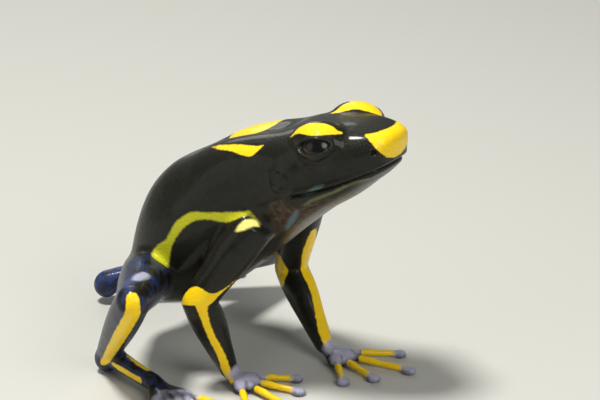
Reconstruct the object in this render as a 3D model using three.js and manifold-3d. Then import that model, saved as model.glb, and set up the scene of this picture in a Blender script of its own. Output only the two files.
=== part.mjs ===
// A life-size poison dart frog, black with yellow bands and blue legs, sitting up on straight forelegs.
// Millimetres. +X is the way the frog faces, +Y is its left side, +Z is up, and the floor is at z = 0.
import * as THREE from "three";
import { mergeVertices } from "three/addons/utils/BufferGeometryUtils.js";
import Module from "manifold-3d";

const wasm = await Module();
wasm.setup();

// Driving dimensions of an adult about 50 mm from snout to vent.
const seam = 0.3;
const eyeRadius = 2.4;
const eardrumRadius = 1.25;
const nostrilRadius = 0.42;
const lipRadius = 0.34;
const palmHeight = 0.85;
const discRadius = 0.95;
const trunkSides = 24;
const limbSides = 12;
const digitSides = 8;

// Cross sections from the snout tip to the vent: a dorsal and a ventral point on the midline, the half width,
// how high the widest level lies between the two points, and how square the upper and lower halves are.
const trunkSections = [
  { dorsal: [19.55, 32.5], ventral: [19.4, 31.8], half: 0.6, widest: 0.45, top: 2.2, under: 2.0 },
  { dorsal: [19.25, 33.3], ventral: [18.75, 29.6], half: 2.5, widest: 0.42, top: 2.5, under: 2.2 },
  { dorsal: [18.5, 33.7], ventral: [17.9, 28.2], half: 3.7, widest: 0.4, top: 2.8, under: 2.2 },
  { dorsal: [16.9, 33.9], ventral: [16.3, 26.8], half: 4.8, widest: 0.38, top: 3.0, under: 2.2 },
  { dorsal: [14.4, 34.0], ventral: [14.0, 24.8], half: 5.9, widest: 0.38, top: 3.0, under: 2.2 },
  { dorsal: [11.4, 33.7], ventral: [11.2, 22.9], half: 6.7, widest: 0.38, top: 3.1, under: 2.2 },
  { dorsal: [8.2, 33.1], ventral: [9.2, 21.3], half: 7.3, widest: 0.4, top: 3.2, under: 2.2 },
  { dorsal: [4.7, 31.9], ventral: [7.6, 19.9], half: 7.1, widest: 0.43, top: 3.3, under: 2.1 },
  { dorsal: [0.7, 30.8], ventral: [5.7, 18.2], half: 7.1, widest: 0.45, top: 3.5, under: 2.1 },
  { dorsal: [-3.4, 29.3], ventral: [3.3, 15.9], half: 7.6, widest: 0.45, top: 3.2, under: 2.1 },
  { dorsal: [-7.4, 27.0], ventral: [0.2, 13.0], half: 8.2, widest: 0.45, top: 2.6, under: 2.1 },
  { dorsal: [-10.8, 24.8], ventral: [-3.4, 10.1], half: 8.5, widest: 0.45, top: 2.3, under: 2.1 },
  { dorsal: [-13.4, 21.9], ventral: [-7.0, 7.8], half: 8.1, widest: 0.46, top: 2.1, under: 2.1 },
  { dorsal: [-15.0, 17.8], ventral: [-10.4, 6.6], half: 6.9, widest: 0.48, top: 2.1, under: 2.1 },
  { dorsal: [-16.1, 13.6], ventral: [-13.2, 6.0], half: 5.3, widest: 0.5, top: 2.0, under: 2.0 },
  { dorsal: [-16.8, 10.2], ventral: [-15.2, 6.0], half: 3.2, widest: 0.5, top: 2.0, under: 2.0 },
  { dorsal: [-17.0, 8.3], ventral: [-16.6, 7.2], half: 0.6, widest: 0.5, top: 2.0, under: 2.0 },
];

// Places on the head, for its left side.
const eyeCentre = [11.6, 4.75, 31.4];
const lidCentre = [11.4, 4.2, 31.6];
const lidRadii = [3.7, 2.75, 2.9];
const lidThickness = 0.42;
const upperLidLevel = 33.3;
const lowerLidLevel = 31.3;
const eardrumCentre = [7.3, 6.95, 27.4];
const nostrilCentre = [18.1, 3.6, 31.65];
const mouthCorner = [9.2, 25.8];
const mouthFront = [18.9, 29.75];
const mouthSag = 0.3;
const throatCut = [1.3, 17];

// Joint centres of each side. side is +1 for the left.
const limbs = {
  left: {
    side: 1,
    shoulder: [3.6, 5.9, 21.2],
    elbow: [-1.3, 9.9, 9.2],
    wrist: [6.0, 5.8, 1.9],
    handYaw: -4,
    hip: [-13.3, 3.4, 10.8],
    knee: [-10.8, 20.2, 6.2],
    ankle: [-27.6, 7.2, 2.9],
    instep: [-21.5, 15.5, 1.5],
    footYaw: 97,
  },
  right: {
    side: -1,
    shoulder: [3.8, -5.9, 21.2],
    elbow: [-2.0, -10.0, 11.6],
    wrist: [0.0, -6.5, 1.9],
    handYaw: -4,
    hip: [-13.3, -3.4, 10.8],
    knee: [-4.3, -20.1, 14.5],
    ankle: [-14.6, -11.0, 2.3],
    instep: [-5.8, -13.8, 1.5],
    footYaw: -26,
  },
};

// Radii at even steps from one joint to the next.
const upperArmRadii = [2.5, 2.45, 2.3, 2.1, 2.0];
const forearmRadii = [2.0, 2.05, 1.8, 1.45, 1.2];
const thighRadii = [3.1, 3.2, 2.9, 2.4, 2.0];
const shankRadii = [2.0, 2.1, 1.95, 1.65, 1.4];
const tarsusRadii = [1.4, 1.2, 1.1, 1.15];

// Digits from the inner side outwards: free length, how far each turns outwards from the middle of the hand or
// foot in degrees, and where its root lies across the palm or sole.
const fingers = [
  { length: 4.4, turn: -46, across: -1.95 },
  { length: 5.4, turn: -16, across: -0.65 },
  { length: 7.6, turn: 12, across: 0.65 },
  { length: 5.6, turn: 44, across: 1.95 },
];
const toes = [
  { length: 3.6, turn: -44, across: -2.4 },
  { length: 5.4, turn: -22, across: -1.2 },
  { length: 8.2, turn: -4, across: 0 },
  { length: 11.0, turn: 12, across: 1.2 },
  { length: 7.6, turn: 32, across: 2.4 },
];
const palm = { length: 3.1, half: 2.35, rootSetback: 0.55 };
const sole = { length: 4.9, half: 2.85, rootSetback: 0.55 };
const digitRadius = 0.46;

const black = new THREE.MeshStandardMaterial({ color: 0x14130f, roughness: 0.35, metalness: 0 });
const yellow = new THREE.MeshStandardMaterial({ color: 0xf0c020, roughness: 0.35, metalness: 0 });
const blue = new THREE.MeshStandardMaterial({ color: 0x2c4378, roughness: 0.4, metalness: 0 });
const eyeBlack = new THREE.MeshStandardMaterial({ color: 0x050505, roughness: 0.08, metalness: 0 });

const vec = (p) => new THREE.Vector3(...p);
const mirror = (p, side) => [p[0], p[1] * side, p[2]];
const mix = (a, b, t) => a.map((v, i) => v + (b[i] - v) * t);
const unit = (a, b) => vec(b).sub(vec(a)).normalize();

// Catmull-Rom through rows of numbers; t runs from 0 to rows.length - 1.
function between(rows, t) {
  const i = Math.min(Math.floor(t), rows.length - 2);
  const f = t - i;
  const [a, b, c, d] = [rows[Math.max(i - 1, 0)], rows[i], rows[i + 1], rows[Math.min(i + 2, rows.length - 1)]];
  return b.map(
    (v, k) =>
      0.5 *
      (2 * v +
        (c[k] - a[k]) * f +
        (2 * a[k] - 5 * v + 4 * c[k] - d[k]) * f * f +
        (3 * v - a[k] - 3 * c[k] + d[k]) * f * f * f),
  );
}

// A closed mesh whose shared vertices are merged becomes a solid for joins and cuts.
function solidOf(geometry) {
  const bare = geometry.clone();
  bare.deleteAttribute("normal");
  bare.deleteAttribute("uv");
  const merged = mergeVertices(bare, 1e-4);
  const made = new wasm.Manifold(
    new wasm.Mesh({
      numProp: 3,
      vertProperties: new Float32Array(merged.attributes.position.array),
      triVerts: new Uint32Array(merged.index.array),
    }),
  );
  return made;
}

// A closed skin over rings of points, with a fan at each end. Each ring runs anticlockwise seen from the end.
function skinOf(rings) {
  const sides = rings[0].length;
  const centre = (ring) => ring.reduce((s, p) => s.add(p), new THREE.Vector3()).divideScalar(sides);
  const points = [...rings.flat(), centre(rings[0].map((p) => p.clone())), centre(rings.at(-1).map((p) => p.clone()))];
  const faces = [];
  const first = points.length - 2;
  const last = points.length - 1;
  const end = (rings.length - 1) * sides;
  for (let j = 0; j < sides; j++) {
    const k = (j + 1) % sides;
    for (let i = 0; i < rings.length - 1; i++) {
      const [a, b, c, d] = [i * sides + j, i * sides + k, (i + 1) * sides + k, (i + 1) * sides + j];
      faces.push(a, b, c, a, c, d);
    }
    faces.push(first, k, j, last, end + j, end + k);
  }
  const geometry = new THREE.BufferGeometry().setFromPoints(points);
  geometry.setIndex(faces);
  const made = solidOf(geometry);
  if (made.volume() > 0) return made;
  for (let i = 0; i < faces.length; i += 3) [faces[i], faces[i + 1]] = [faces[i + 1], faces[i]];
  geometry.setIndex(faces);
  return solidOf(geometry);
}

// Head and trunk: one skin over the sections, each ring a superellipse between its dorsal and ventral points.
function trunk(steps) {
  const rows = trunkSections.map((s) => [...s.dorsal, ...s.ventral, s.half, s.widest, s.top, s.under]);
  const rings = [];
  for (let i = 0; i <= steps; i++) {
    const [dx, dz, vx, vz, half, widest, top, under] = between(rows, (i / steps) * (rows.length - 1));
    const ring = [];
    for (let j = 0; j < trunkSides; j++) {
      const a = (2 * Math.PI * j) / trunkSides;
      const [c, s] = [Math.cos(a), Math.sin(a)];
      const n = s >= 0 ? top : under;
      const across = half * Math.sign(c) * Math.abs(c) ** (2 / n);
      const rise = Math.abs(s) ** (2 / n);
      const level = s >= 0 ? widest + (1 - widest) * rise : widest * (1 - rise);
      ring.push(new THREE.Vector3(vx + (dx - vx) * level, across, vz + (dz - vz) * level));
    }
    rings.push(ring);
  }
  return skinOf(rings);
}

// A round limb along a path of points, its radius following the list at even steps. flat squashes it in height.
function tube(path, radii, { steps = 9, sides = limbSides, grow = 0, flat = 1, facing = [0, 0, 1] } = {}) {
  const rings = [];
  const at = (t) => vec(between(path, t * (path.length - 1)));
  for (let i = 0; i <= steps; i++) {
    const t = i / steps;
    const centre = at(t);
    const along = at(Math.min(t + 0.02, 1)).sub(at(Math.max(t - 0.02, 0))).normalize();
    const side = vec(facing).cross(along).normalize();
    const up = along.clone().cross(side);
    const [radius] = between(radii.map((r) => [r]), t * (radii.length - 1));
    const ring = [];
    for (let j = 0; j < sides; j++) {
      const a = (2 * Math.PI * (j + 0.5)) / sides;
      ring.push(
        centre
          .clone()
          .addScaledVector(side, (radius + grow) * Math.cos(a))
          .addScaledVector(up, (radius * flat + grow) * Math.sin(a)),
      );
    }
    rings.push(ring);
  }
  return skinOf(rings);
}

function ball(centre, radii, across = 14, down = 9) {
  const geometry = new THREE.SphereGeometry(1, across, down);
  geometry.rotateX(Math.PI / 2);
  geometry.scale(...radii);
  geometry.translate(...centre);
  return solidOf(geometry);
}

// Keeps the side of the plane through point that normal points to, less half a seam.
function keep(solid, point, normal, gap = seam / 2) {
  const n = normal.clone().normalize();
  return solid.trimByPlane(n.toArray(), n.dot(vec(point)) + gap);
}

function largest(solid) {
  return solid.decompose().sort((a, b) => b.volume() - a.volume())[0];
}

// Height of the mouth line at x, from its corner below the eardrum to the front of the snout.
function mouthLine(x) {
  const t = (x - mouthCorner[0]) / (mouthFront[0] - mouthCorner[0]);
  const sag = mouthSag * Math.sin(Math.PI * Math.min(Math.max(t, 0), 1));
  return mouthCorner[1] + (mouthFront[1] - mouthCorner[1]) * t - sag;
}

// The block below the mouth line and in front of the throat cut, made gap smaller along both.
function jawBlock(gap) {
  const shape = new THREE.Shape();
  const steps = 8;
  for (let i = 0; i <= steps; i++) {
    const x = mouthCorner[0] + ((mouthFront[0] + 3 - mouthCorner[0]) * i) / steps;
    if (i === 0) shape.moveTo(x + gap, mouthLine(x) - gap);
    else shape.lineTo(x + gap, mouthLine(x) - gap);
  }
  shape.lineTo(mouthFront[0] + 4, throatCut[1]);
  shape.lineTo(throatCut[0] + gap, throatCut[1]);
  shape.closePath();
  const block = new THREE.ExtrudeGeometry(shape, { depth: 30, bevelEnabled: false });
  block.translate(0, 0, -15);
  block.rotateX(Math.PI / 2);
  return solidOf(block);
}

// Lips: a thin roll along the skin just above and below the mouth line, up to the corner on each side.
function lips() {
  const rows = trunkSections.map((s) => [...s.dorsal, ...s.ventral, s.half, s.widest, s.top, s.under]);
  const path = [];
  for (let side = -1; side <= 1; side += 2) {
    const half = [];
    for (let i = 0; i <= 6; i++) {
      const [dx, dz, vx, vz, width, widest, , under] = between(rows, 5.7 - 0.75 * i);
      const lineZ = mouthLine(vx);
      const level = Math.max((lineZ - vz) / (dz - vz), 0.02);
      const drop = Math.min(Math.max(1 - level / widest, 0), 0.98);
      const across = width * (1 - drop ** under) ** (1 / under);
      half.push([vx + (dx - vx) * level, side * (across - 0.02), lineZ]);
    }
    if (side < 0) path.push(...half, [mouthFront[0] - 0.2, 0, mouthFront[1]]);
    else path.push(...half.reverse());
  }
  return tube(path, [0.2, lipRadius, lipRadius, lipRadius, lipRadius, lipRadius, 0.2], { steps: 26, sides: 6 });
}

// Skin of the head with lids, sockets, eardrum recesses, nostrils and lips.
function dressedHead(base) {
  let head = base.add(lips());
  for (const side of [1, -1]) {
    const eye = mirror(eyeCentre, side);
    const lids = ball(eye, Array(3).fill(eyeRadius + seam + lidThickness), 14, 9);
    head = head.add(ball(mirror(lidCentre, side), lidRadii, 14, 9));
    head = head.add(keep(lids, [0, 0, upperLidLevel], new THREE.Vector3(0.1, 0, 1), 0));
    head = head.add(keep(lids, [0, 0, lowerLidLevel], new THREE.Vector3(0, 0, -1), 0));
    head = head.subtract(ball(eye, Array(3).fill(eyeRadius + seam), 14, 10));
    const drum = mirror(eardrumCentre, side);
    head = head.add(drumDisc(drum, side, eardrumRadius + 0.75, 0.2, -1.6));
    head = head.subtract(drumDisc(drum, side, eardrumRadius + seam, 1, -0.75));
    head = head.subtract(ball(mirror(nostrilCentre, side), [nostrilRadius * 1.3, 0.7, nostrilRadius], 8, 6));
  }
  return head;
}

// A short disc facing sideways, from inner to outer along the eardrum's own axis.
function drumDisc(centre, side, radius, outer, inner) {
  const disc = new THREE.CylinderGeometry(radius, radius, outer - inner, 14);
  disc.translate(0, (outer + inner) / 2, 0);
  disc.rotateX(side > 0 ? -0.12 : Math.PI + 0.12);
  disc.translate(...centre);
  return solidOf(disc);
}

// Bone i of a limb, with a ball at each joint where it meets another bone, before any cut.
function bone({ joints, radii }, i, grow = 0) {
  const [from, to] = [joints[i], joints[i + 1]];
  const beyond = i > 0 ? unit(joints[i - 1], from) : unit(to, joints[i + 2]);
  const facing = unit(from, to).cross(beyond).normalize().toArray();
  let whole = tube([from, mix(from, to, 0.5), to], radii[i], { grow, facing, steps: 7 });
  if (i > 0) whole = whole.add(ball(from, Array(3).fill(radii[i][0] + grow), 12, 8));
  if (i < radii.length - 1) whole = whole.add(ball(to, Array(3).fill(radii[i].at(-1) + grow), 12, 8));
  return whole;
}

// The plane that shares a bend equally between the two bones that meet there.
const bisector = (from, joint, to) => unit(from, joint).add(unit(joint, to)).normalize();

const nodes = {};
const put = (name, solid, material) => {
  nodes[name] = { solid: largest(solid), material };
};

// One digit lying on the floor from its root to a flat round disc.
function digit(root, yaw, length, grow = 0) {
  const way = new THREE.Vector3(Math.cos(yaw), Math.sin(yaw), 0);
  const at = (share, z) => vec(root).addScaledVector(way, share * length).setZ(z).toArray();
  const path = [at(-0.12, palmHeight), at(0.25, 0.82), at(0.6, 0.62), at(1, 0.42)];
  const radii = [digitRadius, 0.44, 0.5, 0.42, 0.44, 0.4];
  const tip = at(1, 0.3);
  const shaft = tube(path, radii, { steps: 5, sides: digitSides, grow });
  if (grow) return shaft;
  return shaft.add(ball(tip, [discRadius, discRadius, 0.55], 10, 5));
}

// Palm or sole with its digits: each digit is parted from the pad by a seam at its root.
function spread(name, start, yaw, pad, digits, side, digitName, material) {
  const turn = new THREE.Vector3(Math.cos(yaw), Math.sin(yaw), 0);
  const out = new THREE.Vector3(-Math.sin(yaw), Math.cos(yaw), 0).multiplyScalar(side);
  const centre = (share) => vec(start).addScaledVector(turn, pad.length * share).toArray();
  const low = ([x, y], z) => [x, y, z];
  const path = [centre(-0.1), low(centre(0.35), 1.15), low(centre(0.75), palmHeight), low(centre(1.12), palmHeight)];
  let body = tube(path, [start.radius, pad.half * 0.62, pad.half, pad.half * 0.95], {
    steps: 7,
    sides: limbSides,
    flat: 0.42,
  });
  body = body.add(ball(start, Array(3).fill(start.radius), 12, 8));
  digits.forEach((d, i) => {
    const root = vec(low(centre(1), palmHeight)).addScaledVector(out, d.across);
    root.addScaledVector(turn, -Math.abs(d.across) * 0.22 + pad.rootSetback);
    const heading = yaw + (side * d.turn * Math.PI) / 180;
    const way = new THREE.Vector3(Math.cos(heading), Math.sin(heading), 0);
    const whole = digit(root.toArray(), heading, d.length);
    put(`${digitName}_${i + 1}_${name}`, onFloor(keep(whole, root.toArray(), way)), material);
    body = body.subtract(keep(digit(root.toArray(), heading, d.length, seam), root.toArray(), way, -seam / 2));
  });
  return body;
}

const onFloor = (solid) => keep(solid, [0, 0, 0], new THREE.Vector3(0, 0, 1), 0);

// The part of a solid between two planes, each a point and a normal, less half a seam at both.
const section = (solid, [from, fromAxis], [to, toAxis]) => keep(keep(solid, from, fromAxis), to, toAxis.clone().negate());

let wholeTrunk = trunk(34);
for (const [name, at] of Object.entries(limbs)) {
  const { side, shoulder, elbow, wrist, hip, knee, ankle, instep } = at;

  // Foreleg: parted at the shoulder, the elbow and the wrist.
  const foreleg = { joints: [shoulder, elbow, wrist], radii: [upperArmRadii, forearmRadii] };
  const upperArm = bone(foreleg, 0);
  const shoulderCut = [mix(shoulder, elbow, 0.14), unit(shoulder, elbow)];
  const elbowCut = [elbow, bisector(shoulder, elbow, wrist)];
  const wristCut = [mix(wrist, elbow, 0.03), unit(elbow, wrist)];
  put(`upper_arm_${name}`, section(upperArm, shoulderCut, elbowCut), black);
  put(`forearm_${name}`, section(bone(foreleg, 1), elbowCut, wristCut), yellow);
  wholeTrunk = wholeTrunk.add(keep(upperArm, shoulderCut[0], shoulderCut[1].clone().negate()));
  wholeTrunk = wholeTrunk.subtract(keep(bone(foreleg, 0, seam), ...shoulderCut, -seam / 2));

  const handStart = Object.assign([...wrist], { radius: forearmRadii.at(-1) });
  const hand = spread(name, handStart, (at.handYaw * Math.PI) / 180, palm, fingers, side, "finger", yellow);
  put(`hand_${name}`, onFloor(keep(hand, ...wristCut)), black);

  // Hind leg: parted at the hip, the knee, the ankle and the instep.
  const hindLeg = { joints: [hip, knee, ankle, instep], radii: [thighRadii, shankRadii, tarsusRadii] };
  const thigh = bone(hindLeg, 0);
  const hipCut = [mix(hip, knee, 0.22), unit(hip, knee)];
  const kneeCut = [knee, bisector(hip, knee, ankle)];
  const ankleCut = [ankle, bisector(knee, ankle, instep)];
  const instepCut = [mix(instep, ankle, 0.03), unit(ankle, instep)];
  put(`thigh_${name}`, section(thigh, hipCut, kneeCut), blue);
  put(`shank_${name}`, section(bone(hindLeg, 1), kneeCut, ankleCut), blue);
  put(`tarsus_${name}`, onFloor(section(bone(hindLeg, 2), ankleCut, instepCut)), blue);
  wholeTrunk = wholeTrunk.add(keep(thigh, hipCut[0], hipCut[1].clone().negate()));
  wholeTrunk = wholeTrunk.subtract(keep(bone(hindLeg, 0, seam), ...hipCut, -seam / 2));

  const footStart = Object.assign([...instep], { radius: tarsusRadii.at(-1) });
  const foot = spread(name, footStart, (at.footYaw * Math.PI) / 180, sole, toes, side, "toe", yellow);
  put(`foot_${name}`, onFloor(keep(foot, ...instepCut)), blue);

  put(`eye_${name}`, ball(mirror(eyeCentre, side), Array(3).fill(eyeRadius), 16, 11), eyeBlack);
  put(`eardrum_${name}`, drumDisc(mirror(eardrumCentre, side), side, eardrumRadius, 0.1, -0.45), black);
}

// Head, lower jaw, trunk and rump, parted at the mouth, the neck and the sacrum.
const neckPoint = [4.2, 0, 26.0];
const neckAxis = new THREE.Vector3(0.93, 0, 0.37);
const sacrumPoint = [-9.2, 0, 16.0];
const sacrumAxis = new THREE.Vector3(0.78, 0, 0.62);
const head = dressedHead(keep(wholeTrunk, neckPoint, neckAxis));
put("lower_jaw", head.intersect(jawBlock(seam / 2)), black);
put("head", head.subtract(jawBlock(-seam / 2)), yellow);
const torso = keep(wholeTrunk, neckPoint, neckAxis.clone().negate());
put("torso", keep(torso, sacrumPoint, sacrumAxis), black);
put("rump", keep(torso, sacrumPoint, sacrumAxis.clone().negate()), black);

// Every solid becomes a mesh, and the group is set with the middle of its base at the origin.
const frog = new THREE.Group();
for (const [name, { solid, material }] of Object.entries(nodes)) {
  const { vertProperties, triVerts, numProp } = solid.getMesh();
  const geometry = new THREE.BufferGeometry();
  const points = new THREE.InterleavedBuffer(vertProperties, numProp);
  geometry.setAttribute("position", new THREE.InterleavedBufferAttribute(points, 3, 0));
  geometry.setIndex(new THREE.BufferAttribute(triVerts, 1));
  const mesh = new THREE.Mesh(geometry.toNonIndexed(), material);
  mesh.geometry.computeVertexNormals();
  mesh.name = name;
  frog.add(mesh);
}
const box = new THREE.Box3().setFromObject(frog);
frog.position.set(-(box.min.x + box.max.x) / 2, -(box.min.y + box.max.y) / 2, -box.min.z);

export default frog;
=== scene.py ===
import math
import bmesh
import bpy
import numpy as np
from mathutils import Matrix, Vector


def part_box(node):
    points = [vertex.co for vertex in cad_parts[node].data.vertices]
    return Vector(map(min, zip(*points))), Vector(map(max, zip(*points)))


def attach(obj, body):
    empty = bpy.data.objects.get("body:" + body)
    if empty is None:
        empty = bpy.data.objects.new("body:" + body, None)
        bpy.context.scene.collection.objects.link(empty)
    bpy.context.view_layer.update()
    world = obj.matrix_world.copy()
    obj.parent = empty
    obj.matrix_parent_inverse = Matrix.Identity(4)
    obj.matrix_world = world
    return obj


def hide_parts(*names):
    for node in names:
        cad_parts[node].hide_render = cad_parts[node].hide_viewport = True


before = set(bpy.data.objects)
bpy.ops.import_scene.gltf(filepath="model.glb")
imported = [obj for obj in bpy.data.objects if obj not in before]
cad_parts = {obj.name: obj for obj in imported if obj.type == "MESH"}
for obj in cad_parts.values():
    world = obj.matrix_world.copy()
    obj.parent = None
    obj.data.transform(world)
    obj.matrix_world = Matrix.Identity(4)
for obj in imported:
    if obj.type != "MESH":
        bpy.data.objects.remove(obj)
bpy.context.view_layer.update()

# The frog is worked out in millimetres, X the way it faces, Y its left, Z up from the floor,
# and turned into metres at the end. The solids' left eye says how far the whole frog was shifted.
eye = {"centre": (11.6, 4.75, 31.4), "radius": 2.4}
toMetres, toMillimetres = 0.001, 1000
eyeLow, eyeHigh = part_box("eye_left")
shift = np.array((eyeLow + eyeHigh) / 2) * toMillimetres - np.array(eye["centre"])
print("frame loaded, shift in mm", shift.round(3))


# A smooth curve through the rows in order, as t goes from 0 to their number less one: a cubic between each
# two rows, whose slope at a row is half the step from the row before it to the row after it.
def through(rows, t):
    rows = np.asarray(rows, float)
    last = len(rows) - 1
    t = np.clip(np.asarray(t, float), 0, last)
    i = np.minimum(t.astype(int), last - 1)
    f = (t - i)[..., None]
    a, b = rows[np.maximum(i - 1, 0)], rows[i]
    c, d = rows[i + 1], rows[np.minimum(i + 2, last)]
    slope, bend, twist = c - a, 2 * a - 5 * b + 4 * c - d, 3 * b - a - 3 * c + d
    return 0.5 * (2 * b + slope * f + bend * f**2 + twist * f**3)


# Each vector over its own length.
def unit(v):
    v = np.asarray(v, float)
    return v / np.maximum(np.linalg.norm(v, axis=-1, keepdims=True), 1e-12)


# x squared times 3 less 2 x: a rise from 0 to 1 that is level at both ends.
def smoothStep(x):
    x = np.clip(x, 0, 1)
    return x * x * (3 - 2 * x)


# The rise above from the start over the length; where the length is negative, a fall from 1 to 0 going up.
def fade(x, start, length):
    return smoothStep((x - start) / length)


# e to the power of minus (x over the width) squared: 1 where x is 0, falling away on both sides.
def bell(x, width):
    return np.exp(-((x / width) ** 2))


# A grid of rings becomes a closed shell: quads between the rings and a fan of triangles at each end.
def closedShell(grid):
    rings, sides = grid.shape[:2]
    points = np.concatenate([grid.reshape(-1, 3), [grid[0].mean(0)], [grid[-1].mean(0)]])
    i, j = np.meshgrid(np.arange(rings - 1), np.arange(sides), indexing="ij")
    k = (j + 1) % sides
    here, ahead = i * sides, (i + 1) * sides
    quads = np.stack([here + j, here + k, ahead + k, ahead + j], -1).reshape(-1, 4)
    s = np.arange(sides)
    n = (s + 1) % sides
    end = (rings - 1) * sides
    first = np.full(sides, rings * sides)
    fans = np.concatenate([np.stack([first, n, s], -1), np.stack([first + 1, end + s, end + n], -1)])
    return points, quads.tolist() + fans.tolist()


# A round limb along a path: centre + radius * (cos across, flat * sin up), the radius following its list. The
# muscle, a share, its place and its length along the limb, swells one side by share * bell * -cos.
def limbShell(path, radii, facing, flat=1.0, muscle=(0.0, 0.5, 1.0), steps=40, sides=28):
    t = np.linspace(0, 1, steps)
    centre = through(path, t * (len(path) - 1))
    along = unit(np.gradient(centre, axis=0))
    side = unit(np.cross(np.asarray(facing, float), along))
    up = np.cross(along, side)
    radius = through(np.array(radii, float)[:, None], t * (len(radii) - 1))[:, :1]
    angle = np.linspace(0, 2 * np.pi, sides, endpoint=False)
    share, place, length = muscle
    swell = 1 + share * np.clip(-np.cos(angle), 0, 1) * bell(t[:, None] - place, length)
    ring = radius[:, :, None] * swell[:, :, None]
    grid = centre[:, None] + ring * (
        np.cos(angle)[None, :, None] * side[:, None] + flat * np.sin(angle)[None, :, None] * up[:, None])
    return closedShell(grid)


# An egg: latitude and longitude on a ball, stretched to its three radii. The rings stop just short of the
# poles, which the shell closes.
def ballShell(centre, radii, steps=24, sides=32, poleGap=0.05):
    top = np.pi / 2 - poleGap
    lat = np.linspace(-top, top, steps)[:, None]
    lon = np.linspace(0, 2 * np.pi, sides, endpoint=False)[None]
    grid = np.stack([np.cos(lat) * np.cos(lon), np.cos(lat) * np.sin(lon), np.sin(lat) + 0 * lon], -1)
    return closedShell(np.asarray(centre, float) + grid * np.asarray(radii, float))


# Head and trunk: at each station a ring between a dorsal and a ventral point, a superellipse whose upper
# and lower halves have their own squareness: across = half * cos^(2/n), height = sin^(2/n).
trunk = {
    # dorsal x, z, ventral x, z, half width, widest level, squareness above, below
    "sections": [
        (19.55, 32.5, 19.4, 31.8, 0.6, 0.45, 2.2, 2.0),
        (19.25, 33.3, 18.75, 29.6, 2.5, 0.42, 2.5, 2.2),
        (18.5, 33.7, 17.9, 28.2, 3.7, 0.40, 2.8, 2.2),
        (16.9, 33.9, 16.3, 26.8, 4.8, 0.38, 3.0, 2.2),
        (14.4, 34.0, 14.0, 24.8, 5.9, 0.38, 3.0, 2.2),
        (11.4, 33.7, 11.2, 22.9, 6.7, 0.38, 3.1, 2.2),
        (8.2, 33.1, 9.2, 21.3, 7.3, 0.40, 3.2, 2.2),
        (4.7, 31.9, 7.6, 19.9, 7.1, 0.43, 3.3, 2.1),
        (0.7, 30.8, 5.7, 18.2, 7.1, 0.45, 3.5, 2.1),
        (-3.4, 29.3, 3.3, 15.9, 7.6, 0.45, 3.2, 2.1),
        (-7.4, 27.0, 0.2, 13.0, 8.2, 0.45, 2.6, 2.1),
        (-10.8, 24.8, -3.4, 10.1, 8.5, 0.45, 2.3, 2.1),
        (-13.4, 21.9, -7.0, 7.8, 8.1, 0.46, 2.1, 2.1),
        (-15.0, 17.8, -10.4, 6.6, 6.9, 0.48, 2.1, 2.1),
        (-16.1, 13.6, -13.2, 6.0, 5.3, 0.50, 2.0, 2.0),
        (-16.8, 10.2, -15.2, 6.0, 3.2, 0.50, 2.0, 2.0),
        (-17.0, 8.3, -16.6, 7.2, 0.6, 0.50, 2.0, 2.0),
    ],
    "lidDome": ((11.4, 4.2, 31.6), (3.7, 2.75, 2.9)), "lidThickness": 0.45,
}


def trunkShell(steps=150, sides=96):
    rows = trunk["sections"]
    stations = np.linspace(0, len(rows) - 1, steps)
    dx, dz, vx, vz, half, widest, top, under = through(rows, stations).T[:, :, None]
    angle = np.linspace(0, 2 * np.pi, sides, endpoint=False)[None]
    c, s = np.cos(angle), np.sin(angle)
    n = np.where(s >= 0, top, under)
    across = half * np.sign(c) * np.abs(c) ** (2 / n)
    rise = np.abs(s) ** (2 / n)
    level = np.where(s >= 0, widest + (1 - widest) * rise, widest * (1 - rise))
    grid = np.stack([vx + (dx - vx) * level, across, vz + (dz - vz) * level], -1)
    return closedShell(grid)


# Limbs: joint centres of each side and radii at even steps from joint to joint. The muscle is its share of
# the radius, its place and its length along each bone.
limbs = {
    "left": {
        "side": 1,
        "shoulder": (3.6, 5.9, 21.2), "elbow": (-1.3, 9.9, 9.2), "wrist": (6.0, 5.8, 1.9), "handYaw": -4,
        "hip": (-13.3, 3.4, 10.8), "knee": (-10.8, 20.2, 6.2), "ankle": (-27.6, 7.2, 2.9),
        "instep": (-21.5, 15.5, 1.5), "footYaw": 97,
    },
    "right": {
        "side": -1,
        "shoulder": (3.8, -5.9, 21.2), "elbow": (-2.0, -10.0, 11.6), "wrist": (0.0, -6.5, 1.9), "handYaw": -4,
        "hip": (-13.3, -3.4, 10.8), "knee": (-4.3, -20.1, 14.5), "ankle": (-14.6, -11.0, 2.3),
        "instep": (-5.8, -13.8, 1.5), "footYaw": -26,
    },
}
limbRadii = {
    "upperArm": (2.5, 2.45, 2.3, 2.1, 2.0), "forearm": (2.0, 2.05, 1.8, 1.45, 1.2),
    "thigh": (3.1, 3.2, 2.9, 2.4, 2.0), "shank": (2.0, 2.1, 1.95, 1.65, 1.4), "tarsus": (1.4, 1.2, 1.1, 1.15),
    "muscle": (0.14, 0.38, 0.25),
}
heel = {"radii": (1.65, 1.65, 1.75), "drop": 0.5}
# A palm or sole and its digits: the length of each, its turn outwards in degrees, its root's place across.
hand = {
    "palmLength": 3.1, "palmHalf": 2.35,
    "digits": [(4.4, -46, -1.95), (5.4, -16, -0.65), (7.6, 12, 0.65), (5.6, 44, 1.95)],
}
foot = {
    "palmLength": 4.9, "palmHalf": 2.85,
    "digits": [(3.6, -44, -2.4), (5.4, -22, -1.2), (8.2, -4, 0.0), (11.0, 12, 1.2), (7.6, 32, 2.4)],
}
# The pad, from its joint forwards: shares of its length, its height over the floor behind and in front, half
# widths as shares of its own, and how flat its section is.
palm = {
    "shares": (-0.1, 0.35, 0.75, 1.12), "rise": 1.15, "height": 0.85,
    "widths": (0.62, 1.0, 0.95), "flat": 0.42,
}
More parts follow.
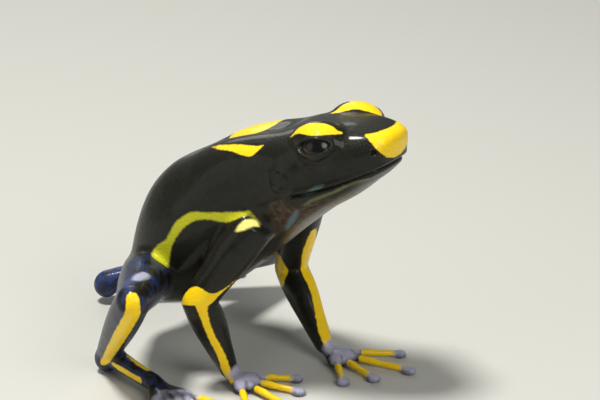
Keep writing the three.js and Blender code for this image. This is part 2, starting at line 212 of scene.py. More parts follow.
# Stops are shares of a digit's length and heights over the floor; roots further across start further back.
digit = {
    "radii": (0.46, 0.44, 0.5, 0.42, 0.44, 0.4),
    "stops": [(-0.12, 0.85), (0.25, 0.82), (0.6, 0.62), (1, 0.42)],
    "disc": 0.95, "discHeight": 0.55, "tipHeight": 0.3, "rootAhead": 0.55, "rootBack": 0.22,
}


# A share t of the way from a to b.
def mix(a, b, t):
    return np.asarray(a, float) + (np.asarray(b, float) - np.asarray(a, float)) * t


# Each bone's flesh is a limb from joint to joint, with a ball at every joint between two of them.
def boneShells(joints, radii):
    shells = []
    for i, r in enumerate(radii):
        start, end = np.array(joints[i]), np.array(joints[i + 1])
        beyond = unit(start - np.array(joints[i - 1])) if i else unit(np.array(joints[i + 2]) - end)
        facing = unit(np.cross(unit(end - start), beyond))
        path = [start, mix(start, end, 0.5), end]
        shells.append(limbShell(path, r, facing, muscle=limbRadii["muscle"]))
        if i:
            shells.append(ballShell(start, [r[0]] * 3))
    return shells


# A hand or foot: a flat pad forward of its joint, and digits that fan out from its front edge, each ending
# in a low round disc. Each digit's root and tip come back too.
def spreadShells(start, startRadius, yaw, pad, side):
    turn = np.array([math.cos(yaw), math.sin(yaw), 0])
    out = np.array([-math.sin(yaw), math.cos(yaw), 0]) * side
    start = np.array(start, float)
    high = palm["height"]

    def along(share, z):
        p = start + turn * pad["palmLength"] * share
        return np.array([p[0], p[1], z])

    path = [along(share, z) for share, z in zip(palm["shares"], (start[2], palm["rise"], high, high))]
    widths = (startRadius, *(pad["palmHalf"] * share for share in palm["widths"]))
    shells = [limbShell(path, widths, (0, 0, 1), flat=palm["flat"]), ballShell(start, [startRadius] * 3)]
    ends = []
    for length, angle, across in pad["digits"]:
        ahead = digit["rootAhead"] - abs(across) * digit["rootBack"]
        root = along(1, high) + out * across + turn * ahead
        heading = yaw + side * math.radians(angle)
        way = np.array([math.cos(heading), math.sin(heading), 0])
        path = [root * (1, 1, 0) + way * share * length + (0, 0, z) for share, z in digit["stops"]]
        shells.append(limbShell(path, digit["radii"], (0, 0, 1), sides=16))
        tip = root * (1, 1, 0) + way * length + (0, 0, digit["tipHeight"])
        disc = (digit["disc"], digit["disc"], digit["discHeight"])
        shells.append(ballShell(tip, disc, steps=12, sides=20))
        ends.append((root, tip))
    return shells, ends


# Every shell of the frog, and the root and tip of every digit.
def allShells():
    shells = [trunkShell()]
    digits = []
    centre, radii = trunk["lidDome"]
    for at in limbs.values():
        side = at["side"]
        flip = np.array([1, side, 1])
        shells.append(ballShell(np.array(centre) * flip, radii))
        lidRadius = eye["radius"] + trunk["lidThickness"]
        shells.append(ballShell(np.array(eye["centre"]) * flip, [lidRadius] * 3))
        shells += boneShells([at["shoulder"], at["elbow"], at["wrist"]],
                             [limbRadii["upperArm"], limbRadii["forearm"]])
        shells += boneShells([at["hip"], at["knee"], at["ankle"], at["instep"]],
                             [limbRadii["thigh"], limbRadii["shank"], limbRadii["tarsus"]])
        shells.append(ballShell(np.array(at["ankle"]) - (0, 0, heel["drop"]), heel["radii"]))
        for pad, start, radius, yaw in ((hand, at["wrist"], limbRadii["forearm"][-1], at["handYaw"]),
                                        (foot, at["instep"], limbRadii["tarsus"][-1], at["footYaw"])):
            made, ends = spreadShells(start, radius, math.radians(yaw), pad, side)
            shells += made
            digits += ends
    return shells, digits


# One skin is wrapped over all the shells, evened where they meet, and hollowed a little along the spine.
skin = {
    "voxel": 0.3, "evenings": 2,
    # where the shells meet: reach, rounds of evening, and how much of each round is taken back
    "shoulders": (3.4, 30, 0.2), "hips": (4.6, 40, 0.2), "bends": (2.2, 10, 0.3), "domes": (4.2, 14, 0.3),
    "digitRoots": (0.9, 5, 0.3),
    # how far along the bone from its joint those places are
    "shoulderShare": 0.05, "hipShares": (0.1, 0.3),
    # the hollow along the spine, and its fades at the rump, towards the head and up from the flanks
    "spineDepth": 0.75, "spineHalf": 2.2, "spineFrom": (-11, 6), "spineTo": (7, -4), "spineAbove": (21, 3),
}


# A mesh from an array of points and a list of faces.
def meshFrom(name, points, faces):
    mesh = bpy.data.meshes.new(name)
    mesh.from_pydata(np.asarray(points).tolist(), [], faces)
    mesh.update()
    return mesh


# The shells are joined in one mesh, and a voxel remesh keeps what lies outside all of them.
def wrap(shells, voxel):
    points, faces, count = [], [], 0
    for p, f in shells:
        points.append(p)
        faces += [[v + count for v in face] for face in f]
        count += len(p)
    mesh = meshFrom("shells", np.concatenate(points), faces)
    work = bpy.data.objects.new("shells", mesh)
    bpy.context.scene.collection.objects.link(work)
    remesh = work.modifiers.new("wrap", "REMESH")
    remesh.mode = "VOXEL"
    remesh.voxel_size = voxel
    graph = bpy.context.evaluated_depsgraph_get()
    wrapped = bpy.data.meshes.new_from_object(work.evaluated_get(graph))
    bpy.data.objects.remove(work)
    return wrapped


# A mesh's points, normals and edges as arrays, and its points set from one.
def pointsOf(mesh):
    co = np.empty(len(mesh.vertices) * 3, np.float32)
    mesh.vertices.foreach_get("co", co)
    return co.reshape(-1, 3).astype(float)


def setPoints(mesh, points):
    mesh.vertices.foreach_set("co", points.astype(np.float32).ravel())
    mesh.update()


def normalsOf(mesh):
    n = np.empty(len(mesh.vertices) * 3, np.float32)
    mesh.vertex_normals.foreach_get("vector", n)
    return n.reshape(-1, 3).astype(float)


def edgesOf(mesh):
    e = np.empty(len(mesh.edges) * 2, np.int32)
    mesh.edges.foreach_get("vertices", e)
    return e.reshape(-1, 2)


# Each point moves towards the mean of its neighbours by the pull times its own weight, then by the share
# back of that away from it, which evens the surface and keeps most of its volume.
def evened(points, edges, weight, rounds, back=0.52, pull=0.6):
    a, b = edges.T
    count = np.bincount(a, minlength=len(points)) + np.bincount(b, minlength=len(points))
    weight = np.broadcast_to(weight, len(points))[:, None]
    for i in range(rounds * 2):
        ahead = np.stack([np.bincount(a, points[b, k], len(points)) for k in range(3)], -1)
        behind = np.stack([np.bincount(b, points[a, k], len(points)) for k in range(3)], -1)
        step = (ahead + behind) / count[:, None] - points
        points = points + step * weight * (pull if i % 2 == 0 else -pull * back)
    return points


# 1 up to a quarter of the radius from the nearest of the places, falling to 0 at one and a quarter of it.
def near(points, places, radius):
    closest = np.full(len(points), np.inf)
    for place in places:
        closest = np.minimum(closest, np.linalg.norm(points - np.asarray(place, float), axis=1))
    return fade(closest, 1.25 * radius, -radius)


# Edges with both ends in the wanted part are halved.
def refined(mesh, wanted):
    bm = bmesh.new()
    bm.from_mesh(mesh)
    bm.edges.ensure_lookup_table()
    ends = edgesOf(mesh)
    chosen = np.flatnonzero(wanted[ends[:, 0]] & wanted[ends[:, 1]])
    bmesh.ops.subdivide_edges(bm, edges=[bm.edges[i] for i in chosen], cuts=1, use_grid_fill=True)
    bm.to_mesh(mesh)
    bm.free()
    mesh.update()


# Every point takes the lowest number among its neighbours until nothing changes, so that each island has
# one number; all but the largest island, which are specks shut inside the body, are deleted.
def keepLargest(mesh):
    a, b = edgesOf(mesh).T
    label = np.arange(len(mesh.vertices))
    while True:
        lower = label.copy()
        low = np.minimum(label[a], label[b])
        np.minimum.at(lower, a, low)
        np.minimum.at(lower, b, low)
        lower = lower[lower]
        if (lower == label).all():
            break
        label = lower
    bm = bmesh.new()
    bm.from_mesh(mesh)
    bm.verts.ensure_lookup_table()
    specks = np.flatnonzero(label != np.bincount(label).argmax())
    bmesh.ops.delete(bm, geom=[bm.verts[i] for i in specks], context="VERTS")
    bm.to_mesh(mesh)
    bm.free()
    mesh.update()
    return len(specks)


shells, digits = allShells()
mesh = wrap(shells, skin["voxel"])
print("speck points removed", keepLargest(mesh))
points, edges = pointsOf(mesh), edgesOf(mesh)
print("skin wrapped", len(mesh.vertices), "points")

joins = {
    "shoulders": [mix(at["shoulder"], at["elbow"], skin["shoulderShare"]) for at in limbs.values()],
    "hips": [mix(at["hip"], at["knee"], share) for at in limbs.values() for share in skin["hipShares"]],
    "bends": [at[name] for at in limbs.values() for name in ("elbow", "knee", "ankle", "wrist", "instep")],
    "domes": [np.array(trunk["lidDome"][0]) * (1, at["side"], 1) for at in limbs.values()],
    "digitRoots": [root for root, _ in digits],
}
points = evened(points, edges, 1.0, skin["evenings"])
for name, places in joins.items():
    reach, rounds, back = skin[name]
    points = evened(points, edges, near(points, places, reach), rounds, back)
x, y, z = points.T
alongSpine = fade(x, *skin["spineFrom"]) * fade(x, *skin["spineTo"]) * fade(z, *skin["spineAbove"])
points[:, 2] -= skin["spineDepth"] * bell(y, skin["spineHalf"]) * alongSpine
setPoints(mesh, points)

# The mouth runs from its corner to its front, given in x and z. The opening between the lids is given from
# the eye's centre. A ridge or fold is its distance from an edge, its height and its width, and a fade is
# where it starts and how long it is.
face = {
    "mouthCorner": (9.2, 25.8), "mouthFront": (18.9, 29.75), "mouthSag": 0.3, "mouthSlope": 22,
    "mouthFade": (8.4, 0.8), "grooveDepth": 0.3, "grooveWidth": 0.14, "grooveShade": 0.16,
    "upperLip": (0.42, 0.13, 0.26), "lowerLip": (-0.4, 0.09, 0.22),
    "nostril": (18.1, 3.75, 31.65), "nostrilDepth": 0.42, "nostrilRadius": 0.26,
    "nostrilRim": (0.45, 0.07, 0.18),
    "drum": (7.3, 6.95, 27.4), "drumRadius": 1.25, "drumDepth": 0.1, "drumFade": (0, -0.35),
    "drumRing": (0, 0.09, 0.2),
    "slitTilt": 10.6, "slitCentre": (0.38, 0.74), "slitHalf": (1.85, 0.8), "slitFade": (0.12, -0.24),
    "lidReach": 4.2, "lidDip": 0.4, "lidOutward": (0.25, 0.15), "lidRim": (0.22, 0.1, 0.14),
    "lowerFolds": [(0.8, -0.14, 0.13), (1.45, -0.09, 0.16)], "lowerFoldsFade": (0.5, -1),
    "upperFolds": [(0.6, -0.08, 0.12)], "upperFoldsFade": (0.6, 1),
}
# How far round mouth, eyes, lids, nostrils and eardrums the mesh is made finer, once for each reach.
fineZone = {
    "mouth": 0.55, "mouthBack": 0.6, "mouthHeight": 27, "mouthHalfHeight": 5,
    "eye": 3.7, "lids": 1.5, "nostril": 0.8, "drum": 1.7,
    "reaches": (1.35, 1.0), "evenReach": 1.2, "evenings": 3,
}


# Straight from corner to front, with a sine's half wave of sag.
def mouthLine(x):
    (cx, cz), (fx, fz) = face["mouthCorner"], face["mouthFront"]
    t = (x - cx) / (fx - cx)
    return cz + (fz - cz) * t - face["mouthSag"] * np.sin(np.pi * np.clip(t, 0, 1))


# Height over the mouth line, square to it; behind the corner it is the distance from the corner.
def overMouth(p):
    cx, cz = face["mouthCorner"]
    level = (p[:, 2] - mouthLine(p[:, 0])) * math.cos(math.radians(face["mouthSlope"]))
    away = np.hypot(p[:, 0] - cx, p[:, 2] - cz)
    return np.where(p[:, 0] < cx, np.where(level < 0, -away, away), level)


tilt = math.radians(face["slitTilt"])
slitAlong = np.array([math.cos(tilt), 0, math.sin(tilt)])
slitUp = np.array([-math.sin(tilt), 0, math.cos(tilt)])


# Distance outwards from the edge of the eye's opening, an ellipse laid on the ball, negative inside it. The
# places from the eye's centre and their heights over the opening's middle come back too.
def fromSlit(p, side):
    q = p - np.array(eye["centre"]) * (1, side, 1)
    s = q @ slitAlong - face["slitCentre"][0]
    t = q @ slitUp - face["slitCentre"][1]
    a, b = face["slitHalf"]
    ring = np.hypot(s / a, t / b)
    return (ring - 1) * np.hypot(s, t) / np.maximum(ring, 1e-6), q, t


# Whether each point is close to a feature of the face, the reach widening every part of the zone.
def featureZone(p, reach):
    zone = p[:, 0] > face["mouthCorner"][0] - fineZone["mouthBack"]
    zone &= np.abs(p[:, 2] - fineZone["mouthHeight"]) < fineZone["mouthHalfHeight"]
    zone &= np.abs(overMouth(p)) < fineZone["mouth"] * reach
    for side in (1, -1):
        gap, q, _ = fromSlit(p, side)
        onEye = (np.linalg.norm(q, axis=1) < fineZone["eye"]) & (q[:, 1] * side > 0)
        zone |= onEye & (gap < fineZone["lids"] * reach)
        for name in ("nostril", "drum"):
            away = np.linalg.norm(p - np.array(face[name]) * (1, side, 1), axis=1)
            zone |= away < fineZone[name] * reach
    return zone


for reach in fineZone["reaches"]:
    refined(mesh, featureZone(pointsOf(mesh), reach))
points, edges = pointsOf(mesh), edgesOf(mesh)
inZone = featureZone(points, fineZone["evenReach"]).astype(float)
points = evened(points, edges, inZone, fineZone["evenings"])
setPoints(mesh, points)
normals = normalsOf(mesh)
print("face refined", len(mesh.vertices), "points")


# A ridge, or a fold where its height is negative: its height times a bell round its place.
def ridge(distance, shape):
    place, height, width = shape
    return height * bell(distance - place, width)


# Mouth: a groove along the line with the two lips standing a little proud of it.
level = overMouth(points)
onHead = fade(points[:, 0], *face["mouthFade"])
groove = -face["grooveDepth"] * bell(level, face["grooveWidth"])
lips = ridge(level, face["upperLip"]) + ridge(level, face["lowerLip"])
points = points + normals * ((groove + lips) * onHead)[:, None]

for side in (1, -1):
    flip = np.array([1, side, 1])
    # Nostril: a pit with a soft rim.
    away = np.linalg.norm(points - np.array(face["nostril"]) * flip, axis=1)
    pit = ridge(away, face["nostrilRim"]) - face["nostrilDepth"] * bell(away, face["nostrilRadius"])
    points = points + normals * pit[:, None]
    # Eardrum: a shallow dish with a raised ring round it.
    edge = np.linalg.norm(points - np.array(face["drum"]) * flip, axis=1) - face["drumRadius"]
    dish = face["drumDepth"] * fade(edge, *face["drumFade"])
    points = points + normals * (ridge(edge, face["drumRing"]) - dish)[:, None]
    # Lids: outside the opening the skin lies just over the eyeball, inside it dips under the ball.
    gap, q, t = fromSlit(points, side)
    far = np.linalg.norm(q, axis=1)
    outward = fade(q[:, 1] * side / np.maximum(far, 1e-6), *face["lidOutward"])
    opening = fade(gap, *face["slitFade"])
    lowerFolds = sum(ridge(gap, fold) for fold in face["lowerFolds"]) * fade(t, *face["lowerFoldsFade"])
    upperFolds = sum(ridge(gap, fold) for fold in face["upperFolds"]) * fade(t, *face["upperFoldsFade"])
    lid = far + ridge(gap, face["lidRim"]) + lowerFolds + upperFolds
    target = mix(lid, eye["radius"] - face["lidDip"], opening)
    target = np.where(far < face["lidReach"], mix(far, target, outward), far)
    points = points + q * (target / np.maximum(far, 1e-6) - 1)[:, None]

points[:, 2] = np.maximum(points[:, 2], 0)  # palms and soles end in flats on the floor
setPoints(mesh, points)
print("face shaped")

# A marking is a stroke of soft balls along a line: its colour, the sides it is on, and then at each
# point x, y outwards from the middle, z and half width. Most are the frog's own colours; the shaded yellow
# strokes are painted shade and the knee's lilac stroke is a painted highlight.
bothSides, leftSide, rightSide = (1, -1), (1,), (-1,)
markings = {
    "snoutBand": ("warm", bothSides, [
        (16.5, 3.3, 33.5, 0.08), (18.1, 2.9, 33.1, 0.92), (19.0, 2.1, 32.7, 1.62), (19.4, 0.8, 32.35, 1.88),
        (19.4, -0.1, 32.3, 1.9)]),
    "backStripe": ("warm", bothSides, [
        (-5.1, 3.3, 27.9, 0.1), (-2.2, 4.6, 28.8, 0.47), (0.4, 5.2, 29.4, 0.6), (2.6, 5.6, 29.6, 0.77),
        (3.4, 5.75, 30.0, 0.52), (4.35, 5.45, 30.6, 0.1)]),
    "backPatch": ("warm", leftSide, [
        (-4.1, 3.0, 28.4, 0.6), (-2.3, 1.8, 29.0, 2.3), (0.0, 2.6, 29.9, 1.8), (1.7, 4.3, 30.5, 0.3)]),
    "backPatchRim": ("warm", leftSide, [
        (-8.0, 4.9, 26.2, 0.1), (-5.8, 4.9, 27.5, 0.6), (-3.6, 4.4, 28.5, 1.0), (-0.8, 4.6, 29.5, 0.9),
        (1.8, 5.2, 30.1, 0.4)]),
    "lidCapRight": ("warm", rightSide, [
        (7.8, 5.0, 32.1, 0.1), (9.4, 5.55, 33.5, 0.55), (11.3, 5.9, 34.3, 1.15), (12.6, 5.4, 34.25, 0.95),
        (13.7, 4.8, 33.75, 0.36), (14.1, 4.2, 33.5, 0.1)]),
    "lidInsideLeft": ("warm", leftSide, [
        (8.9, 2.0, 33.1, 0.12), (10.2, 2.8, 33.9, 0.7), (11.5, 3.55, 34.3, 0.86), (12.8, 3.85, 34.15, 0.82),
        (14.4, 4.1, 33.3, 0.45), (15.0, 3.7, 33.1, 0.1)]),
    "lidCapLeft": ("warm", leftSide, [
        (9.4, 5.2, 33.1, 0.35), (11.5, 5.2, 34.4, 1.4), (13.7, 4.7, 33.5, 0.65)]),
    "elbowRight": ("warm", rightSide, [
        (-3.1, 11.5, 11.6, 0.3), (-1.5, 11.6, 12.8, 1.1), (0.0, 11.0, 12.5, 0.85), (0.95, 10.1, 13.1, 0.28),
        (2.4, 8.5, 14.6, 0.1)]),
    "forearmRight": ("warm", rightSide, [
        (-0.75, 11.1, 11.5, 0.72), (-0.5, 11.1, 10.5, 0.5), (-0.14, 10.1, 7.5, 0.42), (0.33, 8.7, 4.6, 0.48),
        (0.5, 7.7, 1.9, 0.55), (1.3, 7.9, 1.2, 0.6)]),
    "shankRight": ("warm", rightSide, [
        (-3.3, 21.5, 15.6, 0.75), (-3.3, 21.6, 13.6, 0.92), (-7.1, 18.6, 9.2, 0.85), (-12.4, 13.9, 3.5, 0.62),
        (-14.2, 12.4, 1.8, 0.4)]),
    "instepInner": ("warm", rightSide, [
        (-12.6, 11.6, 3.0, 0.3), (-10.0, 12.3, 2.8, 0.43), (-7.2, 13.1, 2.6, 0.4)]),
    "instepOuter": ("warm", rightSide, [
        (-12.4, 12.9, 2.2, 0.25), (-10.4, 13.55, 1.85, 0.41), (-7.6, 14.4, 1.6, 0.4)]),
    "elbowLeft": ("warm", leftSide, [
        (-1.4, 7.5, 11.1, 0.75), (-1.6, 8.0, 9.8, 1.4), (-1.3, 7.9, 8.3, 1.05)]),
    "armLeft": ("warm", leftSide, [
        (3.6, 6.8, 16.2, 0.6), (2.6, 8.0, 13.0, 1.0), (1.7, 9.2, 10.4, 1.0), (2.4, 8.8, 8.1, 1.05),
        (4.2, 7.6, 5.7, 1.0), (6.0, 6.0, 3.4, 0.85), (6.7, 5.5, 2.3, 0.65)]),
    "shankLeft": ("warm", leftSide, [
        (-9.6, 21.8, 7.4, 0.6), (-12.0, 20.4, 7.6, 0.9), (-22.0, 12.6, 5.2, 0.7), (-25.5, 9.4, 4.2, 0.4)]),
    # The flank arc, the groin patch and the shoulder tail are the yellow stripe painted darker and greener:
    # painted shade.
    "flankArc": ("green", bothSides, [
        (3.3, 7.0, 22.7, 0.2), (2.4, 7.5, 22.3, 0.42), (0.2, 7.6, 21.7, 0.6), (-1.8, 7.8, 21.55, 0.42),
        (-3.95, 8.05, 21.1, 0.54), (-5.8, 8.25, 19.5, 0.58), (-7.0, 8.4, 17.4, 0.55), (-8.2, 8.3, 15.3, 1.2),
        (-7.6, 7.9, 13.3, 0.5), (-7.25, 7.6, 12.5, 0.2)]),
    "groinPatch": ("green", bothSides, [
        (-8.2, 8.3, 15.2, 1.1), (-8.8, 8.2, 15.0, 0.95), (-9.5, 8.1, 14.8, 0.4)]),
    "shoulderTail": ("green", bothSides, [
        (3.35, 7.05, 22.8, 0.22), (4.2, 6.65, 21.7, 0.34), (4.85, 5.95, 20.7, 0.26)]),
    "shoulderPatch": ("cream", bothSides, [
        (2.5, 8.65, 20.6, 0.12), (3.5, 8.35, 21.55, 0.55), (4.15, 7.5, 21.7, 0.5), (4.5, 7.1, 21.3, 0.25)]),
    "thighRight": ("blue", rightSide, [
        (-5.2, 20.0, 16.0, 0.7), (-6.1, 16.9, 16.0, 1.2), (-5.5, 13.9, 14.9, 0.5)]),
    "groinRight": ("blue", rightSide, [(-9.0, 11.8, 15.3, 0.5), (-9.3, 10.0, 15.2, 0.45)]),
    "heelLeft": ("blue", leftSide, [
        (-28.4, 6.4, 3.9, 1.6), (-27.4, 6.8, 3.6, 1.7), (-25.4, 8.4, 4.4, 1.3)]),
    "instepLeft": ("blue", leftSide, [(-27.0, 7.0, 1.9, 1.2), (-24.6, 10.6, 1.9, 0.9)]),
    "thighLeft": ("blue", leftSide, [
        (-9.6, 20.6, 8.2, 1.6), (-11.0, 16.4, 9.8, 1.5), (-11.8, 12.8, 10.8, 0.9)]),
    # The pale lilac on top of the near knee is a painted highlight.
    "kneeHighlight": ("lilac", rightSide, [
        (-5.3, 17.8, 16.3, 0.5), (-5.7, 16.4, 16.1, 0.75), (-5.9, 15.0, 15.9, 0.6)]),
    "throatBar": ("pale", bothSides, [
        (9.4, 6.35, 23.8, 0.2), (8.4, 5.6, 22.4, 0.4), (6.9, 4.3, 20.5, 0.28)]),
    "lipSpot": ("teal", bothSides, [
        (10.2, 6.6, 26.05, 0.08), (11.8, 6.5, 26.95, 0.29), (12.9, 6.25, 27.6, 0.08)]),
    "lipRim": ("rim", bothSides, [
        (17.25, 3.4, 28.35, 0.08), (15.9, 4.9, 27.8, 0.18), (13.7, 5.6, 26.7, 0.2), (11.5, 6.2, 25.5, 0.2),
        (10.5, 6.35, 24.8, 0.12)]),
    "snoutSpecks": ("speck", bothSides, [
        (18.3, 3.3, 32.2, 0.3), (19.1, 2.3, 31.3, 0.45), (19.2, -0.1, 30.8, 0.4)]),
}


# Distance from the edge of a set of strokes: along each short length the nearest point on the line is
# found, and the half width there is taken off, so it is negative inside a marking. A stroke is laid only on
# the points in a box that is wider than it by the reach.
def fromStrokes(p, strokes, reach=3, farAway=50.0, pieces=6):
    nearest = np.full(len(p), farAway)
    for stroke in strokes:
        fine = through(stroke, np.linspace(0, len(stroke) - 1, len(stroke) * pieces))
        low, high = fine[:, :3].min(0) - reach, fine[:, :3].max(0) + reach
        here = np.flatnonzero(((p > low) & (p < high)).all(1))
        for a, b in zip(fine[:-1], fine[1:]):
            line = b[:3] - a[:3]
            t = np.clip((p[here] - a[:3]) @ line / max(line @ line, 1e-9), 0, 1)
            away = np.linalg.norm(p[here] - a[:3] - t[:, None] * line, axis=1) - (a[3] + (b[3] - a[3]) * t)
            nearest[here] = np.minimum(nearest[here], away)
    return nearest


# One number for each point, kept on the mesh for the material to read.
def store(mesh, name, values):
    layer = mesh.attributes.new(name, "FLOAT", "POINT")
    layer.data.foreach_set("value", values.astype(np.float32))


# Strokes on each finger and toe, and on the back of each hand from wrist to knuckles: at each point the share
# of the way along, the height and the half width. The yellow stripes are the digits' own colour; the pale
# lilac on the discs, the knuckles and the backs of the hands is a painted highlight, a sheen of light on wet
# skin.
digitMarks = {
    "stripe": ("warm", [(0.22, 0.9, 0.62), (0.86, 0.6, 0.6)]),
    "disc": ("lilac", [(0.97, 0.5, 0.75), (1.03, 0.5, 0.8)]),
    "knuckle": ("lilac", [(-0.16, 1.3, 0.75), (0.04, 1.1, 0.6)]),
}
handBack = [(0.3, 1.6, 1.1), (0.77, 1.3, 1.5)]


def strokeBetween(root, tip, stops):
    return [(*mix(root, tip, share)[:2], height, half) for share, height, half in stops]


strokes = {colour: [] for colour, _, _ in markings.values()}
for colour, sides, stroke in markings.values():
    strokes[colour] += [[(x, side * y, z, half) for x, y, z, half in stroke] for side in sides]
for root, tip in digits:
    for colour, stops in digitMarks.values():
        strokes[colour].append(strokeBetween(root, tip, stops))
for at in limbs.values():
    yaw = math.radians(at["handYaw"])
    wrist = np.array(at["wrist"])
    knuckles = wrist + np.array([math.cos(yaw), math.sin(yaw), 0]) * hand["palmLength"]
    strokes["lilac"].append(strokeBetween(wrist, knuckles, handBack))
for colour, drawn in strokes.items():
    store(mesh, colour + "Edge", fromStrokes(points, drawn))

# How far each point belongs to the hind legs: a reach round each bone from the middle of the thigh to the
# foot, and a fade.
legZone = {"thighFrom": 0.45, "reaches": (4.2, 3.6, 3.0, 4.5), "fade": -1.2}
onLeg = np.zeros(len(points))
for at in limbs.values():
    midThigh = mix(at["hip"], at["knee"], legZone["thighFrom"])
    places = [midThigh, at["knee"], at["ankle"], at["instep"], at["instep"]]
    for a, b, reach in zip(places[:-1], places[1:], legZone["reaches"]):
        away = fromStrokes(points, [[(*a, 0.0), (*mix(a, b, 0.5), 0.0), (*b, 0.0)]])
        onLeg = np.maximum(onLeg, fade(away, reach, legZone["fade"]))
store(mesh, "legZone", onLeg)

# The throat is what lies below the mouth line and in front of the shoulders, above the forearms and hands.
throatZone = {"below": (-0.9, -0.8), "front": (5.5, 1.5), "above": 17}
onThroat = fade(level, *throatZone["below"]) * fade(points[:, 0], *throatZone["front"])
store(mesh, "throatZone", onThroat * (points[:, 2] > throatZone["above"]))
# Where the mouth groove runs, for the painted shade that darkens it in the material.
store(mesh, "grooveShadeZone", bell(level, face["grooveShade"]) * onHead)
print("markings laid")

setPoints(mesh, (points + shift) * toMetres)
mesh.name = "frogSkin"


# A finished, smooth-shaded mesh goes into the scene at the origin.
def addSmooth(name, mesh):
    mesh.polygons.foreach_set("use_smooth", np.ones(len(mesh.polygons), bool))
    made = bpy.data.objects.new(name, mesh)
    bpy.context.scene.collection.objects.link(made)
    return made


frogSkin = addSmooth("frog_skin", mesh)


# A new node of a kind, with its own settings.
def node(tree, kind, **settings):
    made = tree.nodes.new(kind)
    for key, value in settings.items():
        setattr(made, key, value)
    return made


# A socket is linked, and anything else is set as the socket's own value.
def feed(tree, value, socket):
    if isinstance(value, bpy.types.NodeSocket):
        tree.links.new(value, socket)
    else:
        socket.default_value = value


# Up to three values, each a number or a socket, through a Math node.
def maths(tree, operation, a, b=0.0, c=0.0, clamp=False):
    made = node(tree, "ShaderNodeMath", operation=operation, use_clamp=clamp)
    for value, socket in zip((a, b, c), made.inputs):
        feed(tree, value, socket)
    return made.outputs[0]


# A value times the gain plus the offset, kept between 0 and 1.
def levels(tree, value, gain, offset):
    return maths(tree, "MULTIPLY_ADD", value, gain, offset, clamp=True)


# One colour over another by a share. On a Mix node set to colour, the share and the two colours are inputs
# 0, 6 and 7, and the result is output 2.
def layer(tree, under, share, over):
    made = node(tree, "ShaderNodeMix", data_type="RGBA")
    feed(tree, share, made.inputs[0])
    feed(tree, under, made.inputs[6])
    feed(tree, over, made.inputs[7])
    return made.outputs[2]


# The number that is kept on the mesh under a name.
def field(tree, name):
    return node(tree, "ShaderNodeAttribute", attribute_name=name).outputs["Fac"]


# Soft noise around 0.5; its scale is in cells per metre, as for all patterns here.
def noise(tree, place, scale, detail=3):
    made = node(tree, "ShaderNodeTexNoise")
    feed(tree, place, made.inputs["Vector"])
    made.inputs["Scale"].default_value = scale
    made.inputs["Detail"].default_value = detail
    return made.outputs["Fac"]


# Distance from the middle of the nearest cell, run together where a smoothness is given.
def cellDistance(tree, place, scale, smoothness=None):
    made = node(tree, "ShaderNodeTexVoronoi", feature="F1" if smoothness is None else "SMOOTH_F1")
    feed(tree, place, made.inputs["Vector"])
    made.inputs["Scale"].default_value = scale
    if smoothness is not None:
        made.inputs["Smoothness"].default_value = smoothness
    return made.outputs["Distance"]


# A material with one shader, and constants set on the shader's own inputs.
def newMaterial(name, constants):
    material = bpy.data.materials.new(name)
    material.use_nodes = True
    tree = material.node_tree
    tree.nodes.clear()
    shader = node(tree, "ShaderNodeBsdfPrincipled")
    for socket, value in constants.items():
        shader.inputs[socket].default_value = value
    out = node(tree, "ShaderNodeOutputMaterial")
    tree.links.new(shader.outputs[0], out.inputs[0])
    return material, tree, shader


# Colours, then scales of the patterns in cells per metre, then gain and offset of each pattern. Softness is
# the half breadth of a marking's edge, and grain and wander make the edge uneven, all in millimetres.
skinLook = {
    "black": (0.0062, 0.0056, 0.0040, 1), "olive": (0.012, 0.0125, 0.0065, 1),
    # The darker, greener yellow of the flank stripes is painted shade.
    "yellow": (1.0, 0.73, 0.012, 1), "deepYellow": (0.98, 0.60, 0.003, 1), "green": (0.50, 0.50, 0.010, 1),
    # The pale lilac is a painted highlight: light on the knee, the backs of the hands, the knuckles and the
    # discs.
    "cream": (0.86, 0.78, 0.22, 1), "blue": (0.028, 0.050, 0.165, 1), "lilac": (0.42, 0.42, 0.56, 1),
    "pale": (0.09, 0.15, 0.19, 1), "teal": (0.085, 0.16, 0.14, 1), "rim": (0.15, 0.16, 0.055, 1),
    # The near-black groove colour is painted shade in the mouth crease.
    "throat": (0.095, 0.056, 0.028, 1), "speck": (0.05, 0.03, 0.004, 1), "groove": (0.004, 0.003, 0.003, 1),
    "fineScale": 9000, "broadScale": 900, "wanderScale": 1800, "throatScale": 1500, "spotScale": 620,
    "dotScale": 3600, "grainScale": 4200, "spotSmoothness": 0.35, "grainSmoothness": 0.6,
    "oliveLevels": (2.2, -0.75), "throatLevels": (3.0, -1.0), "spotLevels": (5.0, -1.9), "spotWander": 0.5,
    "blueLevels": (0.6, 0.4), "legShare": 0.45, "dotLevels": (-9.0, 2.6), "dotShare": 0.75,
    "grooveShadeShare": 0.8, "grain": 0.14, "wander": 0.26,
    "warmSoftness": 0.07, "blueSoftness": 0.45, "speckSoftness": 0.5,
    "softness": {"green": 0.14, "cream": 0.14, "lilac": 0.25, "pale": 0.2, "teal": 0.2, "rim": 0.2},
    "roughLevels": (0.3, 0.22), "grainDepth": -0.7, "bumpStrength": 0.85, "bumpDistance": 0.00008,
    "shader": {
        "Coat Weight": 0.28, "Coat Roughness": 0.13, "Specular IOR Level": 0.20, "IOR": 1.42,
        "Subsurface Weight": 0.04, "Subsurface Radius": (0.0006, 0.0003, 0.0002)},
}
